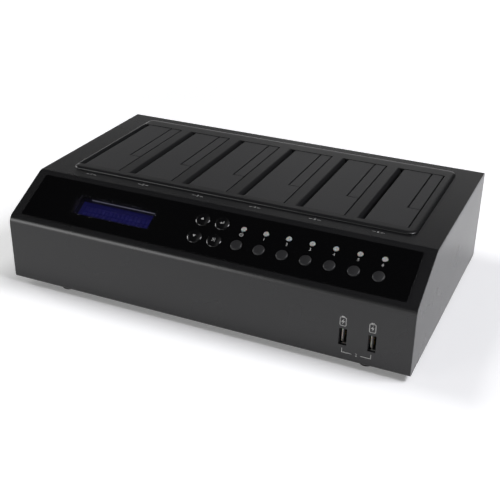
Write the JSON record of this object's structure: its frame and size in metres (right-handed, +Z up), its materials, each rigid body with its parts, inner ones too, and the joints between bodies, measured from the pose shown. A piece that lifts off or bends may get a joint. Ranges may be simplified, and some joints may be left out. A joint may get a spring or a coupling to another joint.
{
  "type": "hard drive duplicator",
  "caption": "Low desktop box with a sloped gloss control panel, a small display, round buttons, and a row of top-loading drive bays under sprung covers.",
  "frame": {"origin": "middle of the box's footprint, on the surface that its feet stand on", "axes": "+X to the right along the control panel, +Y to the back with the sockets, +Z up"},
  "size_m": [0.328, 0.201, 0.083],
  "materials": {
    "painted_steel": "satin black powder coat on folded sheet",
    "moulded_black": "fine matt moulded black",
    "cover_plastic": "fine matt moulded charcoal",
    "gloss_overlay": "polished piano black",
    "button_grey": "satin dark grey keycap",
    "clear_window": "clear polished pane",
    "display_blue": "deep blue liquid-crystal glass on a green board",
    "lamp_lens": "milky clear moulding",
    "circuit_board": "green solder mask",
    "foot_rubber": "matt black rubber",
    "spring_steel": "bright drawn wire",
    "plated_steel": "nickel-plated sheet",
    "socket_black": "black moulding",
    "heatsink_aluminium": "plain extruded aluminium",
    "ribbon_grey": "grey vinyl ribbon"
  },
  "bodies": {
    "casing": {"top_cover": "painted_steel", "left_side_panel": "painted_steel", "right_side_panel": "painted_steel", "base_plate": "painted_steel", "bay_frame": "moulded_black", "drive_guide": "moulded_black", "control_panel": "gloss_overlay", "display_window": "clear_window", "display_bezel": "socket_black", "display_module": "display_blue", "light_pipe_strip": "lamp_lens", "control_board": "circuit_board", "front_usb_port_1": "plated_steel", "front_usb_port_2": "plated_steel", "front_port_board": "circuit_board", "main_board": "circuit_board", "heatsink": "heatsink_aluminium", "dc_inlet": "socket_black", "usb_b_port": "plated_steel", "esata_port": "plated_steel", "ribbon_cable": "ribbon_grey", "foot_front_left": "foot_rubber", "foot_front_right": "foot_rubber", "foot_rear_left": "foot_rubber", "foot_rear_right": "foot_rubber", "drive_connector_1": "socket_black", "drive_connector_2": "socket_black", "drive_connector_3": "socket_black", "drive_connector_4": "socket_black", "drive_connector_5": "socket_black", "drive_connector_6": "socket_black", "cover_spring_1": "spring_steel", "cover_spring_2": "spring_steel", "cover_spring_3": "spring_steel", "cover_spring_4": "spring_steel", "cover_spring_5": "spring_steel", "cover_spring_6": "spring_steel"},
    "bay_cover_1": {"bay_cover_1": "cover_plastic"},
    "small_flap_1": {"small_flap_1": "cover_plastic"},
    "bay_cover_2": {"bay_cover_2": "cover_plastic"},
    "small_flap_2": {"small_flap_2": "cover_plastic"},
    "bay_cover_3": {"bay_cover_3": "cover_plastic"},
    "small_flap_3": {"small_flap_3": "cover_plastic"},
    "bay_cover_4": {"bay_cover_4": "cover_plastic"},
    "small_flap_4": {"small_flap_4": "cover_plastic"},
    "bay_cover_5": {"bay_cover_5": "cover_plastic"},
    "small_flap_5": {"small_flap_5": "cover_plastic"},
    "bay_cover_6": {"bay_cover_6": "cover_plastic"},
    "small_flap_6": {"small_flap_6": "cover_plastic"},
    "up_button": {"up_button": "gloss_overlay"},
    "enter_button": {"enter_button": "gloss_overlay"},
    "down_button": {"down_button": "gloss_overlay"},
    "back_button": {"back_button": "gloss_overlay"},
    "power_button": {"power_button": "button_grey"},
    "drive_button_1": {"drive_button_1": "button_grey"},
    "drive_button_2": {"drive_button_2": "button_grey"},
    "drive_button_3": {"drive_button_3": "button_grey"},
    "drive_button_4": {"drive_button_4": "button_grey"},
    "drive_button_5": {"drive_button_5": "button_grey"},
    "drive_button_6": {"drive_button_6": "button_grey"}
  },
  "joints": [
    {"name": "bay_cover_1_hinge", "type": "hinge", "parent": "casing", "child": "bay_cover_1", "pos_m": [-0.1375, 0.02, 0.0786], "axis": [0, 1, 0], "range_deg": [0, 88], "stiffness_Nm_per_rad": 0.01, "springref_deg": -57.3, "deforming": ["cover_spring_1"]},
    {"name": "small_flap_1_hinge", "type": "hinge", "parent": "bay_cover_1", "child": "small_flap_1", "pos_m": [-0.11342, 0.02, 0.0786], "axis": [0, 1, 0], "range_deg": [0, 88], "stiffness_Nm_per_rad": 0.002, "springref_deg": -57.3},
    {"name": "bay_cover_2_hinge", "type": "hinge", "parent": "casing", "child": "bay_cover_2", "pos_m": [-0.0895, 0.02, 0.0786], "axis": [0, 1, 0], "range_deg": [0, 88], "stiffness_Nm_per_rad": 0.01, "springref_deg": -57.3, "deforming": ["cover_spring_2"]},
    {"name": "small_flap_2_hinge", "type": "hinge", "parent": "bay_cover_2", "child": "small_flap_2", "pos_m": [-0.06542, 0.02, 0.0786], "axis": [0, 1, 0], "range_deg": [0, 88], "stiffness_Nm_per_rad": 0.002, "springref_deg": -57.3},
    {"name": "bay_cover_3_hinge", "type": "hinge", "parent": "casing", "child": "bay_cover_3", "pos_m": [-0.0415, 0.02, 0.0786], "axis": [0, 1, 0], "range_deg": [0, 88], "stiffness_Nm_per_rad": 0.01, "springref_deg": -57.3, "deforming": ["cover_spring_3"]},
    {"name": "small_flap_3_hinge", "type": "hinge", "parent": "bay_cover_3", "child": "small_flap_3", "pos_m": [-0.01742, 0.02, 0.0786], "axis": [0, 1, 0], "range_deg": [0, 88], "stiffness_Nm_per_rad": 0.002, "springref_deg": -57.3},
    {"name": "bay_cover_4_hinge", "type": "hinge", "parent": "casing", "child": "bay_cover_4", "pos_m": [0.0065, 0.02, 0.0786], "axis": [0, 1, 0], "range_deg": [0, 88], "stiffness_Nm_per_rad": 0.01, "springref_deg": -57.3, "deforming": ["cover_spring_4"]},
    {"name": "small_flap_4_hinge", "type": "hinge", "parent": "bay_cover_4", "child": "small_flap_4", "pos_m": [0.03058, 0.02, 0.0786], "axis": [0, 1, 0], "range_deg": [0, 88], "stiffness_Nm_per_rad": 0.002, "springref_deg": -57.3},
    {"name": "bay_cover_5_hinge", "type": "hinge", "parent": "casing", "child": "bay_cover_5", "pos_m": [0.0545, 0.02, 0.0786], "axis": [0, 1, 0], "range_deg": [0, 88], "stiffness_Nm_per_rad": 0.01, "springref_deg": -57.3, "deforming": ["cover_spring_5"]},
    {"name": "small_flap_5_hinge", "type": "hinge", "parent": "bay_cover_5", "child": "small_flap_5", "pos_m": [0.07858, 0.02, 0.0786], "axis": [0, 1, 0], "range_deg": [0, 88], "stiffness_Nm_per_rad": 0.002, "springref_deg": -57.3},
    {"name": "bay_cover_6_hinge", "type": "hinge", "parent": "casing", "child": "bay_cover_6", "pos_m": [0.1025, 0.02, 0.0786], "axis": [0, 1, 0], "range_deg": [0, 88], "stiffness_Nm_per_rad": 0.01, "springref_deg": -57.3, "deforming": ["cover_spring_6"]},
    {"name": "small_flap_6_hinge", "type": "hinge", "parent": "bay_cover_6", "child": "small_flap_6", "pos_m": [0.12658, 0.02, 0.0786], "axis": [0, 1, 0], "range_deg": [0, 88], "stiffness_Nm_per_rad": 0.002, "springref_deg": -57.3},
    {"name": "up_button_press", "type": "slide", "parent": "casing", "child": "up_button", "axis": [0, 0.4713, -0.882], "range_m": [0, 0.0008], "stiffness_N_per_m": 1500, "springref_m": -0.0004},
    {"name": "enter_button_press", "type": "slide", "parent": "casing", "child": "enter_button", "axis": [0, 0.4713, -0.882], "range_m": [0, 0.0008], "stiffness_N_per_m": 1500, "springref_m": -0.0004},
    {"name": "down_button_press", "type": "slide", "parent": "casing", "child": "down_button", "axis": [0, 0.4713, -0.882], "range_m": [0, 0.0008], "stiffness_N_per_m": 1500, "springref_m": -0.0004},
    {"name": "back_button_press", "type": "slide", "parent": "casing", "child": "back_button", "axis": [0, 0.4713, -0.882], "range_m": [0, 0.0008], "stiffness_N_per_m": 1500, "springref_m": -0.0004},
    {"name": "power_button_press", "type": "slide", "parent": "casing", "child": "power_button", "axis": [0, 0.4713, -0.882], "range_m": [0, 0.0008], "stiffness_N_per_m": 1500, "springref_m": -0.0004},
    {"name": "drive_button_1_press", "type": "slide", "parent": "casing", "child": "drive_button_1", "axis": [0, 0.4713, -0.882], "range_m": [0, 0.0008], "stiffness_N_per_m": 1500, "springref_m": -0.0004},
    {"name": "drive_button_2_press", "type": "slide", "parent": "casing", "child": "drive_button_2", "axis": [0, 0.4713, -0.882], "range_m": [0, 0.0008], "stiffness_N_per_m": 1500, "springref_m": -0.0004},
    {"name": "drive_button_3_press", "type": "slide", "parent": "casing", "child": "drive_button_3", "axis": [0, 0.4713, -0.882], "range_m": [0, 0.0008], "stiffness_N_per_m": 1500, "springref_m": -0.0004},
    {"name": "drive_button_4_press", "type": "slide", "parent": "casing", "child": "drive_button_4", "axis": [0, 0.4713, -0.882], "range_m": [0, 0.0008], "stiffness_N_per_m": 1500, "springref_m": -0.0004},
    {"name": "drive_button_5_press", "type": "slide", "parent": "casing", "child": "drive_button_5", "axis": [0, 0.4713, -0.882], "range_m": [0, 0.0008], "stiffness_N_per_m": 1500, "springref_m": -0.0004},
    {"name": "drive_button_6_press", "type": "slide", "parent": "casing", "child": "drive_button_6", "axis": [0, 0.4713, -0.882], "range_m": [0, 0.0008], "stiffness_N_per_m": 1500, "springref_m": -0.0004}
  ]
}
